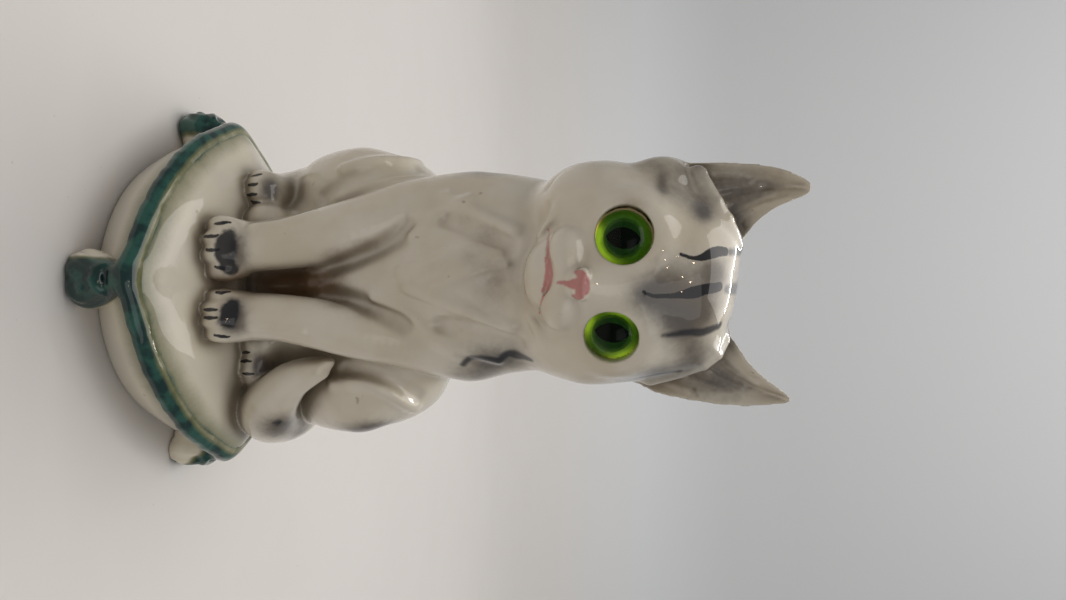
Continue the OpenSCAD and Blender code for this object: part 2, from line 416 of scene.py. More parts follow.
def rows_on_head(rows):
    """Rows of place and radius, from rows in the head's frame."""
    return [(*on_head(x, y, z), radius) for x, y, z, radius in rows]


def head_limb(rows):
    return limb(rows_on_head(rows))


def ring_round_eye(side, radius, thick, out):
    middle, turn = eye_middle(side), eye_turn(side)
    angles = np.linspace(0, 2 * math.pi, 33)
    return tube([middle + turn @ np.array([math.cos(a) * radius, math.sin(a) * radius, out]) for a in angles],
                np.full(len(angles), thick))


def head_shapes():
    shapes = [
        (lump((0, 4, 2), (34, 31, 27)), 0),
        (lump((0, 1.5, 18), (28, 24, 12.4)), 6),
        (lump((0, -6, 8), (25, 18, 20)), 8),
    ]
    for side in (-1, 1):
        shapes += [
            (lump((side * 17, -4, -12.5), (18.2, 20, 17.5)), 8),
            (lump((side * 19.5, -4, -20.5), (12, 14, 10.5)), 5),
            (lump((side * 14.5, -16.5, -2), (12.5, 8.5, 12)), 6),
            (lump((side * 15 + 2, -3, 22.8), (7.6, 12, 6.8)), 5),
            (ring_round_eye(side, 10.2, 2.5, -0.9), 4),
        ]
    whisker_pads = [(lump((side * 7.6 - 0.4, -24.2, -20.8), (7.0, 5.6, 4.9)), 2.6) for side in (-1, 1)]
    nose_wings = [(lump((side * 2.8 - 0.7, -30.8, -14.6), (2.1, 1.9, 1.8)), 1.0) for side in (-1, 1)]
    return shapes + [
        (lump((0, -18, -20), (15.5, 11, 10.5)), 6),
        (head_limb([(0, -16, 8, 8), (0, -21.5, -3, 6.4), (0, -26.6, -12, 4.6)]), 6),
        (lump((-0.5, -20.8, -27.6), (8.4, 6.4, 4.9)), 3),
        (lump((-0.5, -24.6, -20.4), (12.5, 5.4, 5.2)), 3),
        *whisker_pads,
        # the temple lump below the right ear, and the nose
        (lump((-30.8, -1, 5), (7.4, 9, 8.5)), 5),
        (lump((-0.7, -30.2, -15.2), (3.9, 2.6, 3.1)), 1.8),
        *nose_wings,
    ]


# Ear outlines from the front in the head's frame: x and z, from the inner base over the tip to the lobe
EAR_OUTLINES = {
    1: [(12, 29), (16, 33.8), (23, 39.8), (27.6, 45.6), (32.8, 54), (35.8, 54), (38.7, 43), (39.5, 32),
        (39, 19), (37.6, 10), (34.2, 4), (30, 5), (25, 12), (17, 22)],
    -1: [(-11, 28), (-14.8, 31.6), (-20.7, 35.4), (-26, 41), (-30.4, 48.8), (-32.8, 50.6), (-35.8, 48.8),
         (-38.6, 40), (-39.0, 29), (-37.8, 15), (-37, 6), (-34, 1), (-29, 3), (-22, 13), (-15, 22)],
}
EAR_CUP = 8.0
EAR_CUP_SLOPE = 4.6
EAR_EDGE = 2.5


def ear_front(x, z, edge):
    """Depth of the ear's front at a place in its outline, where edge is the distance from the rim."""
    plane = -2.5 + (np.abs(x) - 16) * 0.14 + (z - 30) * 0.03
    return plane + EAR_CUP * (1 - np.exp(np.minimum(edge, 0) / EAR_CUP_SLOPE))


def ear_shape(side):
    ring = np.array(EAR_OUTLINES[side] + EAR_OUTLINES[side][:2])
    outline = Outline(curve(ring, 5), 12)

    def distance(x, y, z):
        x, y, z = x - HEAD_AT[0], y - HEAD_AT[1], z - HEAD_AT[2]
        across, deep, up = (HEAD[0, i] * x + HEAD[1, i] * y + HEAD[2, i] * z for i in range(3))
        edge = outline.at(across, up)
        thick = EAR_EDGE + np.clip(-edge, 0, 12) * 0.28
        sheet = np.abs(deep - ear_front(across, up, edge) - thick / 2) - thick / 2
        return -smooth_min(-edge, -sheet / 1.3, 2.2)

    corners = np.array([on_head(side * x, y, z) for x in (8, 42) for y in (-6, 24) for z in (-6, 56)])
    return Shape(distance, corners.min(0), corners.max(0))


def ear_shapes(side):
    if side > 0:
        tuft = [(15, -8, 29.5, 1.4), (20, -8.5, 25.5, 2.4), (26, -7, 17, 2.8), (31, -4.5, 9, 2.4)]
    else:
        tuft = [(-14.5, -8, 29, 1.4), (-20, -9.5, 24.6, 2.6), (-27, -8, 19.5, 3.0), (-34, -4, 15, 2.6)]
    return [(ear_shape(side), 2.5), (head_limb(tuft), 3)]


def foreleg_rows(side):
    if side < 0:
        return [(-25, -3, 104, 12.6), (-24, -10, 88, 11.8), (-18.8, -18, 71, 9.8), (-14.2, -24, 55, 8.6),
                (-12.4, -26.5, 45, 8.0), (-11.6, -27, 36, 8.0)]
    return [(17.5, -3, 104, 12.4), (15.5, -11, 86, 10.6), (14.6, -18.5, 73, 9.0), (12.1, -24, 60, 8.0),
            (10.3, -26, 48, 7.5), (9.9, -26.5, 36, 7.6)]


# Toes: how far across the paw, with its half width as 1, and how far forward on a forepaw
TOES = [(-0.68, -2.4), (-0.235, -5.0), (0.235, -5.0), (0.68, -2.4)]
FOREPAW_TALL = 4.7
PAWS = {
    # middle, half width and half height
    "foreleg_right": ((-11.0, -29.2, 33.2), 10.3, FOREPAW_TALL),
    "foreleg_left": ((9.8, -28.8, 33.2), 8.5, FOREPAW_TALL),
    "hind_paw_right": ((-34.0, -4.0, 32.0), 7.0, 4.0),
    "hind_paw_left": ((26.5, -5.5, 32.0), 6.4, 4.0),
}


def paw_shapes(name):
    middle, half, tall = PAWS[name]
    middle = np.array(middle)
    shapes = [(egg(middle + np.array([0, 1, 0.6]), (half * 0.92, 8.4, tall * 1.36)), 3)]
    for x, y in TOES:
        at = middle + np.array([x * half, y * tall / FOREPAW_TALL, -1.5])
        shapes.append((egg(at, (half * 0.31, tall * 0.86, tall)), 2.0))
    return shapes


def foreleg_shapes(side):
    return [(limb(foreleg_rows(side)), 5)] + paw_shapes("foreleg_left" if side > 0 else "foreleg_right")


def haunch_shapes(side):
    across = 30.5 if side > 0 else 33.2
    thigh = egg((side * across, 14, 66), (17.6, 25, 27), spin_y(side * -6) @ spin_x(12))
    shin = limb([(side * 38, 2, 64, 10.5), (side * 38.5, 9, 50, 9.4), (side * 38.5, 18, 40, 8)])
    return [(thigh, 6), (shin, 6)]


def hind_paw_shapes(side):
    name = "hind_paw_left" if side > 0 else "hind_paw_right"
    paw = np.array(PAWS[name][0])
    ankle = np.array([side * 38.5, 18, 36])
    foot = limb([(*ankle, 7.4), (*((ankle + paw) / 2), 6.6), (*paw, 5.6)])
    return [(foot, 5)] + paw_shapes(name)


# The tail from its root to its tip: place and radius
TAIL = [(8, 40, 36, 9.5), (25, 40, 33.5, 10.2), (37, 32, 32.4, 10.6), (43, 18, 32, 10.7),
        (43.2, 4, 32.2, 10.5), (40.6, -4.5, 34.8, 9.8), (36.2, -10, 40, 8), (31, -13.8, 46.5, 6.4),
        (27.8, -15.8, 53.5, 4.9), (25.6, -16.8, 60.5, 3.2)]

PARTS = {
    "torso": torso_shapes(),
    "head": head_shapes(),
    "foreleg_left": foreleg_shapes(1),
    "foreleg_right": foreleg_shapes(-1),
    "haunch_left": haunch_shapes(1),
    "haunch_right": haunch_shapes(-1),
    "hind_paw_left": hind_paw_shapes(1),
    "hind_paw_right": hind_paw_shapes(-1),
    "tail": [(limb(TAIL), 2.0)],
    "ear_left": ear_shapes(1),
    "ear_right": ear_shapes(-1),
}


def part_distance(part, points):
    x, y, z = points.T
    if part == "cushion":
        return cushion_distance(x, y, z)
    best = None
    for shape, _ in PARTS[part]:
        d = shape.distance(x, y, z)
        best = d if best is None else np.minimum(best, d)
    return best


def sculpt_kitten():
    clay = Clay((-64, -64, -3), (64, 64, 220), KITTEN_STEP)
    for part, shapes in PARTS.items():
        for shape, blend in shapes:
            clay.add(shape, blend, 12)
    model_body(clay)
    carve_face(clay)
    carve_ears(clay)
    clay.cut(inner_cushion_shape(2.0))
    clay.add(cushion_shape(), 1.2)
    return clay


# Soft folds of the chest, legs and thighs: places as x and z, then width and depth, where a
# depth below 0 is a ridge. All are made this much deeper.
FOLD_STRENGTH = 1.3
BODY_FOLDS = [
    ([(-16.6, 122), (-22.5, 110), (-28, 100)], 2.2, -1.4),
    ([(-12, 121), (-17, 110), (-20, 101)], 2.6, 1.75),
    ([(-9.5, 118), (-11, 108), (-6, 96), (-3.5, 88)], 1.9, -1.22),
    ([(13, 121), (9, 110), (5, 100), (1, 90)], 1.9, -1.4),
    ([(18, 122), (14, 110), (12, 100)], 2.6, 1.75),
    ([(-27.5, 107), (-22, 98), (-15.5, 90)], 1.7, -1.22),
    ([(22, 104), (16, 96), (8, 89), (4, 78)], 1.7, -1.22),
    ([(36, 86), (30.5, 80), (27.5, 72), (27, 62)], 2.2, 1.6),
    ([(40.5, 84), (35, 78), (31.6, 70), (31, 60)], 1.9, -1.75),
    ([(-46, 82), (-43.5, 72), (-40, 62)], 1.7, -1.57),
    ([(-6, 120), (-2.5, 108), (1.5, 98)], 1.7, -1.05),
    ([(23, 116), (20, 107), (16.5, 97)], 1.8, -1.4),
    ([(-42, 84), (-39, 74), (-35.5, 64), (-31, 54)], 2, 1.75),
    ([(-22, 60), (-18.5, 50), (-17.5, 42)], 1.6, -0.88),
    ([(15, 58), (13.6, 48), (13.5, 42)], 1.6, -0.88),
    ([(-19, 88), (-14, 82), (-9.5, 74), (-6, 64)], 2.8, 1.0),
    ([(13, 87), (8.5, 79), (5, 72), (2.5, 64)], 2.8, 1.0),
]
FUR_COMB = [(13.5 - 2.0 * i, 120 - 2.6 * i) for i in range(6)]


def model_body(clay):
    for places, width, depth in BODY_FOLDS:
        rows = curve(places, 5)
        clay.crease(np.array([clay.front(x, z) for x, z in rows]), width, depth * FOLD_STRENGTH)
    for x, z in FUR_COMB:
        clay.crease(np.array([clay.front(x + 0.6, z + 1.6), clay.front(x - 0.9, z - 2.0)]), 0.7, 0.4)
    clay.swell(clay.front(-1.7, 115), (8.5, 8, 9), -1.5)
    clay.swell(clay.front(-20, 95), (8, 8, 9), 0.9)
    clay.swell(clay.front(14, 95), (8, 8, 9), 0.9)
    clay.swell(clay.front(-21, 114), (5, 5, 5), -0.7)


# Folds of the face's left half in the head's frame: places, width and depth
FACE_FOLDS = [
    # above the whisker pad and behind it
    ([(4.6, -29, -15.2), (9, -27, -15), (13.6, -22.5, -17.5)], 1.6, 0.3),
    ([(14.5, -21, -18.5), (15, -20, -23), (13, -20, -27)], 1.6, 0.5),
    # the fur ends of the jaw
    ([(22, -18, -23), (17, -19, -27), (12, -18, -30)], 1.6, -1.2),
    ([(28, -12, -12), (27, -13, -20), (23, -14, -26)], 2.0, -1.1),
    ([(31, -6, -18), (29.5, -8, -24), (25, -10, -29)], 1.4, 0.7),
]
MOUTH = [(-14, -22, -26.2), (-8, -26.5, -25.2), (-2.2, -29.5, -23.6), (4, -27, -24.8), (10, -23, -25.8)]
PHILTRUM = [(-0.7, -33, -17.5), (-0.7, -32, -20), (-0.9, -30.5, -23.6)]


def carve_face(clay):
    for side in (-1, 1):
        middle, turn = eye_middle(side), eye_turn(side)
        out = turn[:, 2]
        clay.cut(rod(middle - out, middle + out * 20, EYE_R - 0.12), 0.4)
        clay.cut(rod(middle - out * 7, middle - out * 0.4, EYE_R + 0.95))
    # a chip beside the right eye, where its cement shows
    middle, turn = eye_middle(-1), eye_turn(-1)
    chip = [middle + turn @ np.array([-0.8, 0.2, out]) for out in (-0.3, 6)]
    clay.cut(rod(*chip, EYE_R + 0.25), 0.3)
    clay.crease([on_head(*p) for p in curve(MOUTH)], 0.9, 1.1)
    clay.crease([on_head(*p) for p in PHILTRUM], 0.8, 0.8)
    for side in (-1, 1):
        for places, width, depth in FACE_FOLDS:
            clay.crease(curve([on_head(side * x, y, z) for x, y, z in places], 5), width, depth)


# How far across each ridge of the ear starts and ends, and its height
EAR_RIDGES = [(20, 29.5, 0.5), (24.5, 31.5, 0.65), (29, 33.2, 0.6), (33, 35, 0.45)]


def carve_ears(clay):
    """Ridges that fan up inside each ear."""
    for side in (-1, 1):
        for foot, top, height in EAR_RIDGES:
            rows = []
            for t in np.linspace(0, 1, 7):
                across = side * (foot + (top - foot) * t + 1.2 * math.sin(t * 3))
                x, _, z = on_head(across, 0, 26 - (foot - 20) * 0.9 + 17 * t)
                rows.append(clay.front(x, z))
            clay.crease(rows, 1.1, -height)


# ---------------------------------------------------------------- objects

def new_object(name, points, faces, normals=None):
    mesh = bpy.data.meshes.new(name)
    mesh.from_pydata((points * MM).tolist(), [], faces)
    mesh.validate()
    mesh.shade_smooth()
    if normals is not None:
        mesh.normals_split_custom_set_from_vertices(normals.tolist())
    obj = bpy.data.objects.new(name, mesh)
    bpy.context.scene.collection.objects.link(obj)
    return obj


def paint(obj, name, values):
    layer = obj.data.attributes.new(name, "FLOAT", "POINT")
    layer.data.foreach_set("value", np.asarray(values, np.float32))


def loops_of(edges):
    """Groups edges that join end to end."""
    parent = {}

    def root(a):
        while parent.setdefault(a, a) != a:
            parent[a] = parent[parent[a]]
            a = parent[a]
        return a

    for a, b in edges:
        parent[root(a)] = root(b)
    groups = {}
    for a, b in edges:
        groups.setdefault(root(a), []).append((a, b))
    return list(groups.values())


# A piece's open rim turns in this far. It then goes three times as deep, and this share of the way
# to its middle, before it is closed
RIM_DEPTH = 1.2
RIM_DRAW = 0.35


def piece_of(points, quads, normals, paints, chosen, name, sink=0.0):
    """One closed piece from some of the skin's faces. Its open rims are closed inside the figure."""
    faces = quads[chosen]
    used, index = np.unique(faces, return_inverse=True)
    faces = index.reshape(-1, 4)
    place, normal = points[used], normals[used]
    values = {key: paints[key][used] for key in paints}
    edges = np.concatenate([faces[:, [i, (i + 1) % 4]] for i in range(4)])
    twins = {(b, a) for a, b in edges.tolist()}
    rim = [(a, b) for a, b in edges.tolist() if (a, b) not in twins]
    caps = []
    for loop in loops_of(rim):
        members = sorted({a for edge in loop for a in edge})
        inner = {a: len(place) + i for i, a in enumerate(members)}
        hub = len(place) + 2 * len(members)
        ring = place[members] - RIM_DEPTH * normal[members]
        middle = ring.mean(0) - np.array([0, 0, sink])
        deep = (1 - RIM_DRAW) * (place[members] - 3 * RIM_DEPTH * normal[members]) + RIM_DRAW * middle
        place = np.vstack([place, ring, deep, middle])
        normal = np.vstack([normal, normal[members], normal[members], [0, 0, 1.0]])
        for a, b in loop:
            caps += [(b, a, inner[a], inner[b])]
            a, b = inner[a], inner[b]
            caps += [(b, a, a + len(members), b + len(members)), (b + len(members), a + len(members), hub)]
    obj = new_object(name, place, faces.tolist() + caps, normal)
    for key, value in values.items():
        paint(obj, key, np.concatenate([value, np.zeros(len(place) - len(value))]))
    return obj


# ---------------------------------------------------------------- painted markings

# A place slides on to the skin more readily from front to back than across
REACH_OUT = np.array([1.0, 0.12, 1.0])


def nearest(skin_points, places):
    """The skin's point for each place."""
    return np.array([skin_points[np.argmin(((skin_points - p) ** 2) @ REACH_OUT)] for p in places])


def strokes_distance(skin_points, strokes):
    """Distance to the nearest edge of a set of brush strokes, rows of place and half width."""
    best = np.full(len(skin_points), 4.0)
    for rows in strokes:
        rows = curve(rows, 4)
        rows[:, :3] = nearest(skin_points, rows[:, :3])
        rows[1:-1, :3] = (rows[:-2, :3] + 2 * rows[1:-1, :3] + rows[2:, :3]) / 4
        low, high = rows[:, :3].min(0) - 6, rows[:, :3].max(0) + 6
        near = np.all((skin_points > low) & (skin_points < high), axis=1)
        d = tube(rows[:, :3], rows[:, 3]).distance(*skin_points[near].T)
        best[near] = np.minimum(best[near], d)
    return best


def patches(skin_points, spots):
    """Sum of soft airbrushed spots: place, radii, strength."""
    total = np.zeros(len(skin_points))
    for at, radii, strength in spots:
        total += strength * bell(nearest(skin_points, [at])[0], radii, NO_TURN, *skin_points.T)
    return total


# Brush strokes are rows of place and half width
INK = [rows_on_head(rows) for rows in (
    # two stripes of the forehead, broad at the top and drawn out below
    [(-12.2, -15, 24.5, 1.3), (-11.6, -17, 20.5, 1.6), (-9.8, -20, 16.4, 0.7), (-10.6, -21, 12, 0.45)],
    [(-1.6, -15, 23.6, 1.4), (-0.8, -18, 19.3, 1.6), (0, -20, 16.2, 1.7), (1.0, -23, 11, 0.75),
     (1.6, -24, 6.5, 0.6), (0.6, -25, 2.4, 0.4)],
)]


def claw(x, y, z, half_drop, lean=0.0):
    return [(x - lean, y + 1, z + half_drop, 0.35), (x, y - 0.5, z, 0.62), (x + lean, y, z - half_drop, 0.4)]


CLAWS = {
    # how far forward the claws are, half their length, and x and z of each
    "foreleg_right": (-36.5, 2.1, [(-18.4, 33.6), (-14.0, 31.4), (-9.9, 31.9), (-4.4, 34.2)]),
    "foreleg_left": (-36.0, 2.0, [(2.7, 33.8), (8.2, 31.8), (10.8, 31.8), (16.4, 34.2)]),
    "hind_paw_right": (-10.0, 1.7, [(-38.6, 31.2), (-35.0, 30.8), (-31.6, 30.6), (-29.0, 31.4)]),
    "hind_paw_left": (-11.5, 1.6, [(21.4, 31.2), (24.4, 30.8), (28.6, 31.4)]),
}
for deep, half_drop, places in CLAWS.values():
    for i, (x, z) in enumerate(places):
        INK.append(claw(x, deep, z, half_drop, 0.35 - 0.2 * i))

INK_SOFT = [rows_on_head(rows) for rows in (
    # the third stripe, and the stripes' pale starts over the crown
    [(9.6, -13, 25.5, 1.0), (11.4, -16, 21, 1.3), (11.6, -18.5, 16.5, 1.0), (13.2, -21, 9.8, 0.4)],
    [(-13, -6, 33, 1.4), (-12.6, -11, 29.5, 1.2), (-12.4, -14, 26, 0.8)],
    [(-2, -4, 33, 2.0), (-1.4, -10, 30, 1.8), (-1.0, -14, 26, 1.2)],
    [(8.5, -5, 33, 1.2), (9.2, -10, 29.5, 1.0)],
    # a temple stroke
    [(25.4, -13, 17, 0.5), (27.2, -13, 11, 0.9), (29, -12, 4, 0.8), (30, -11, -2, 0.4)],
)] + [
    # a wavy stroke on the left shoulder, and a long one on the right
    [(23.6, -20, 126, 0.9), (22.2, -21, 122, 1.5), (21.6, -21, 119.6, 1.1), (23.7, -20, 116, 1.2),
     (22.9, -20, 111, 1.0), (23.2, -20, 107.5, 1.1), (25.2, -19, 104.6, 0.9)],
    [(-38, -7, 123, 0.9), (-39, -6, 115, 1.7), (-39.5, -6, 107, 1.4), (-39, -6, 99, 1.2), (-38, -7, 92, 0.6)],
]

ROSE = [rows_on_head(rows) for rows in (
    # the nose: its top, its wings and its point
    [(-2.4, -33, -13.4, 1.1), (0.9, -33, -13.2, 1.2)],
    [(-4.2, -31.5, -16.6, 0.7), (-3.6, -32.5, -15, 1.4), (-0.7, -33, -14.6, 1.6), (2.4, -32.5, -15, 1.4),
     (3.2, -31.5, -16.8, 0.7)],
    [(-0.7, -33, -16.6, 1.7), (-0.7, -32.5, -19, 0.9), (-0.6, -31.5, -21.6, 0.35)],
    # the mouth
    [(-14.2, -22, -27.2, 0.4), (-9, -26.5, -25.9, 0.55), (-2.0, -29.5, -23.8, 0.75), (4, -28, -25, 0.6),
     (10.8, -22.5, -26.5, 0.4)],
    [(-6.5, -27, -25.8, 0.4), (-1.6, -29, -24.9, 0.8), (3.6, -27.5, -25.7, 0.4)],
)]


def head_spots(spots):
    """Spots whose places are given in the head's frame."""
    return [(on_head(*at), radii, strength) for at, radii, strength in spots]


GREY = head_spots([
    # forehead, temples and crown
    ((0.4, -22, 11), (10, 9, 9), 1.0),
    ((11, -20, 16), (6.5, 8, 7.5), 0.7),
    ((1.4, -24, 3.4), (4.5, 6, 6), 0.6),
    ((-6, -17, 22), (5, 8, 6), 0.85),
    ((4.4, -17, 21), (5.5, 8, 6), 0.7),
    ((-31, -9, 8), (8, 12, 8), 0.60),
    ((-24, -12, 17), (6, 9, 5.5), 0.6),
    ((-35, -4, -1), (4.5, 8, 6), 0.45),
    ((-29, -13, 4.6), (5.0, 6, 1.8), 0.5),
    ((-22.5, -13, 17.5), (3.0, 6, 3.0), 0.5),
    ((27, -13, 9), (4.5, 10, 11), 0.8),
    ((20, -13, 20), (6.5, 9, 6), 0.8),
    ((-12, -2, 33), (5, 16, 6), 0.6),
    ((1, 0, 34), (7, 16, 6), 0.8),
    ((14, 0, 33), (5, 14, 6), 0.7),
    # ears, front and back
    ((-33, 4, 32), (12, 16, 20), 0.78),
    ((33, 4, 32), (11, 16, 20), 0.80),
    ((-20, 0, 29), (6, 7, 5), 0.95),
    ((21, 0, 30), (6, 7, 5), 0.8),
    ((-36.5, -1, 16), (4, 8, 6), 0.5),
    ((35, 0, 8), (6, 8, 7), 0.3),
]) + [
    # shoulders, thighs and tail
    ((24, -18, 116), (6.2, 10, 11), 1.0),
    ((29, -10, 106), (5, 8, 10), 0.55),
    ((-40, -4, 108), (5, 10, 15), 1.1),
    ((52, 2, 70), (4.5, 14, 11), 1.5),
    ((-52, 12, 76), (4.6, 10, 7), 1.1),
    ((46, -6, 40), (7.0, 8, 6.5), 1.2),
    ((51, 8, 40), (5, 10, 6), 0.9),
    # paws
    ((-9, -33, 38.5), (7.4, 5, 3.6), 1.0),
    ((10.4, -33, 38), (6.6, 5, 4.0), 1.3),
    ((-33.6, -7, 35.6), (5.2, 6, 3.0), 1.2),
    ((25.6, -9, 35.2), (5.0, 6, 3.0), 1.2),
    # back: bands of the tabby coat
    ((0, 42, 92), (20, 14, 5), 0.9),
    ((0, 44, 72), (22, 14, 5), 0.9),
    ((-3, 34, 112), (18, 14, 5), 0.8),
    ((-4, 24, 130), (16, 12, 5), 0.7),
] + head_spots([
    ((0, 33, 12), (14, 10, 5), 0.8),
    ((0, 34, 0), (16, 10, 5), 0.7),
])

BLACK = [
    ((-12.4, -35, 36.0), (4.6, 5, 2.7), 1.7),
    ((-8.8, -35, 34.9), (4.4, 5, 2.5), 1.3),
    ((-4.4, -34, 36.2), (2.4, 4, 2.4), 1.3),
    ((7.6, -34, 37.6), (4.0, 4, 2.2), 1.4),
    ((11.4, -34, 36.2), (3.8, 4, 2.4), 1.5),
] + head_spots([
    # the first two: near-black painted shade at the inner foot of each ear, where it meets the head
    ((-19, -3, 30), (4, 6, 3), 0.8),
    ((17.8, -3, 31.5), (4.4, 6, 2.6), 0.75),
    ((35, 2, 24), (2.6, 6, 5), 0.5),
]) + [
    ((44.0, -6, 41), (2.4, 5, 2.4), 0.9),
    ((48.0, -4, 38), (2.4, 5, 2.4), 0.7),
]

BROWN = [
    # brown painted shade, with some brown airbrush, between the legs and where they meet the chest, round the
    # paws and under the chin
    ((-1, -18, 46), (5.5, 14, 12), 1.4),
    ((-1, -18, 60), (5.0, 14, 10), 0.9),
    ((-1, -24, 32), (5, 12, 6), 0.9),
    ((-12, -26, 76), (3.6, 9, 6), 0.55),
    ((-7.5, -26, 67), (3.2, 9, 6), 0.6),
    ((8.5, -26, 76), (3.6, 9, 6), 0.55),
    ((5.0, -26, 67), (3.2, 9, 6), 0.6),
    ((27.5, -10, 60), (3.0, 12, 12), 0.55),
    ((-29, -10, 56), (3.0, 12, 12), 0.5),
    ((-23, -14, 34), (5, 14, 8), 0.35),
    ((19, -14, 34), (5, 14, 8), 0.35),
    ((-1.6, -24, 117), (10, 9, 8), 0.55),
    ((-15.5, -24, 113.5), (4.5, 9, 5), 0.45),
    ((-8.4, -24, 108), (4, 9, 4), 0.3),
    ((11.4, -24, 106.5), (5, 9, 5), 0.35),
    ((-20, -22, 106), (4, 9, 4), 0.3),
] + head_spots([
    # the ears are stained as well as greyed
    ((-31, 2, 26), (9, 12, 18), 0.45),
    ((32, 2, 26), (9, 12, 18), 0.40),
    ((4, -22, 13), (10, 9, 9), 0.25),
]) + [
    # beside the chip at the right eye
    (eye_middle(-1) + eye_turn(-1) @ (-9, 1, 1), (3.5, 3.5, 6), 0.8),
]


def distance_of_piping(points):
    x, y, z = points.T
    return np.hypot(np.hypot(x, y) - edge_r(np.arctan2(y, x)), z - SEAM_Z)


# How enclosed a place is: the materials paint shade, with stain and glaze pooling, into creases by it
def cavity(clay, points, normals):
    """0 in the open, rising to 1 in creases."""
    total = 0.0
    for reach in (2.5, 6.0, 12.0):
        there = clay.sample(clay.field, points + normals * reach)
        total = total + np.clip(1 - there / reach, 0, 1) / 3
    return total


def thinness(clay, points, normals, depth=2.2):
    """0 on broad shapes, rising to 1 on sharp edges."""
    there = clay.sample(clay.field, points - normals * depth)
    return np.clip(1 + there / depth, 0, 1)


def kitten_paints(clay, points, normals):
    socket = 0.0
    # inside an eye's socket: painted shade over the unglazed clay, for the dark hollow behind the glass
    for side in (-1, 1):
        q = (points - eye_middle(side)) @ eye_turn(side)
        within = (np.hypot(q[:, 0], q[:, 1]) < EYE_R + 1.2) & (q[:, 2] < -0.6) & (q[:, 2] > -12)
        socket = socket + np.where(within, 1.0, 0)
    return {
        "ink": strokes_distance(points, INK),
        "soft_ink": strokes_distance(points, INK_SOFT),
        "rose": strokes_distance(points, ROSE),
        "grey": patches(points, GREY),
        "black": patches(points, BLACK),
        "brown": patches(points, BROWN),
        "green": distance_of_piping(points) - 3.2,
        "cavity": cavity(clay, points, normals),
        "thin": thinness(clay, points, normals),
        "socket": socket,
    }


# ---------------------------------------------------------------- piping and tassels

# Each tassel's direction in degrees, and how far out its foot flares
TASSEL_REACH = 59.5
TASSELS = {
    "tassel_front": (-90, TASSEL_REACH),
    "tassel_left": (0, 61.5),
    "tassel_right": (180, 65.0),
    "tassel_back": (90, 62.0),
}


# The piping's cord in section: half its width and thickness, and its slope in degrees
CORD_WIDE, CORD_THICK, CORD_SLOPE = 3.15, 2.0, 38


def cord_section(x, y, z):
    """Places out and up from the middle of the piping's flattened cord."""
    return np.hypot(x, y) - edge_r(np.arctan2(y, x)) + 0.3, z - SEAM_Z - 0.1


def piping_distance(x, y, z):
    """A cord pressed flat: it slopes on from the crown and ends in a tight lower edge."""
    angle = np.arctan2(y, x)
    wobble = 0.10 * np.sin(23 * angle + 1) + 0.08 * np.sin(41 * angle) + 0.06 * np.sin(67 * angle + 2)
    u, v = cord_section(x, y, z)
    tilt = math.radians(CORD_SLOPE)
    along = (u * math.cos(tilt) - v * math.sin(tilt)) / (CORD_WIDE + wobble)
    across = (u * math.sin(tilt) + v * math.cos(tilt)) / CORD_THICK
    return (np.sqrt(along ** 2 + across ** 2) - 1) * 2.2


def tassel_shapes(angle, reach):
    """A gathered lobe that hangs from the corner: a knot, a dimple under it, and folds that curl."""
    out = np.array([math.cos(math.radians(angle)), math.sin(math.radians(angle)), 0])
    along = np.array([-out[1], out[0], 0])
    turn = np.stack([along, out, [0, 0, 1.0]], 1)
    flare = reach - TASSEL_REACH

    def at(t, r, z):
        return turn @ np.array([t, r + flare * max(0.0, 1 - z / 13), z])

    def part(t, r, z, radii, lean=0):
        return egg(at(t, r, z), radii, turn @ spin_y(lean))

    solid = [
        (part(0.2, 53.4, 4.8, (8.0, 6.2, 7.2)), 0),
        (part(-3.2, 54.6, 4.4, (4.6, 5.0, 5.4), 20), 3),
        (part(3.4, 54.2, 5.6, (4.4, 5.2, 6.0), -8), 3),
        (limb([(*at(0, 53.4, 15.6), 3.6), (*at(0, 54.4, 13), 4.6), (*at(0, 54.6, 10), 5.0)]), 4),
        (part(0, 46, 6, (7.5, 6, 7)), 3),
    ]
    folds = [
        ([at(-3.4, 58.6, 11.6), at(-1.6, 60, 9.6), at(1.6, 60, 9.4), at(4.2, 58.8, 11.2)], 0.9, -0.8),
        ([at(-0.8, 60.4, 8.4), at(-3.0, 60.4, 5), at(-5.6, 59, 1.4)], 1.2, 1.5),
        ([at(2.0, 60, 8), at(4.8, 59.6, 7), at(5.2, 59.6, 4.4), at(2.6, 60.4, 2.8)], 1.0, 1.1),
        ([at(0.6, 60.2, 6.6), at(1.6, 60.4, 4.6), at(0.2, 60.4, 1.4)], 0.9, 0.7),
        ([at(7.0, 57, 10), at(8.0, 56.6, 5.4), at(7.0, 57, 1)], 1.1, 0.8),
        ([at(-5.6, 57.6, 9.6), at(-7.4, 56.8, 5.4), at(-8.0, 56.2, 1.6)], 1.1, 0.9),
    ]
    hole = egg(at(0.4, 60.4, 12.6), (3.0, 2.4, 1.0), turn)
    return solid, folds, hole


def sculpt_trim():
    clay = Clay((-70, -70, -3), (70, 70, SEAM_Z + 8), TRIM_STEP)
    x, y, z = clay.axes[0][:, None, None], clay.axes[1][None, :, None], clay.axes[2][None, None, :]
    clay.field = piping_distance(x, y, z).astype(np.float32)
    parts = {"piping": [Shape(piping_distance, (-62, -62, 10), (62, 62, 24))]}
    for name, (angle, reach) in TASSELS.items():
        solid, folds, hole = tassel_shapes(angle, reach)
        for shape, blend in solid:
            clay.add(shape, max(blend, 1.6))
        for points, width, depth in folds:
            clay.crease(clay.settle(curve(points, 5)), width, depth)
        clay.cut(hole, 0.8)
        parts[name] = [shape for shape, _ in solid]
    np.maximum(clay.field, -z + 0.1, out=clay.field)
    return clay, parts


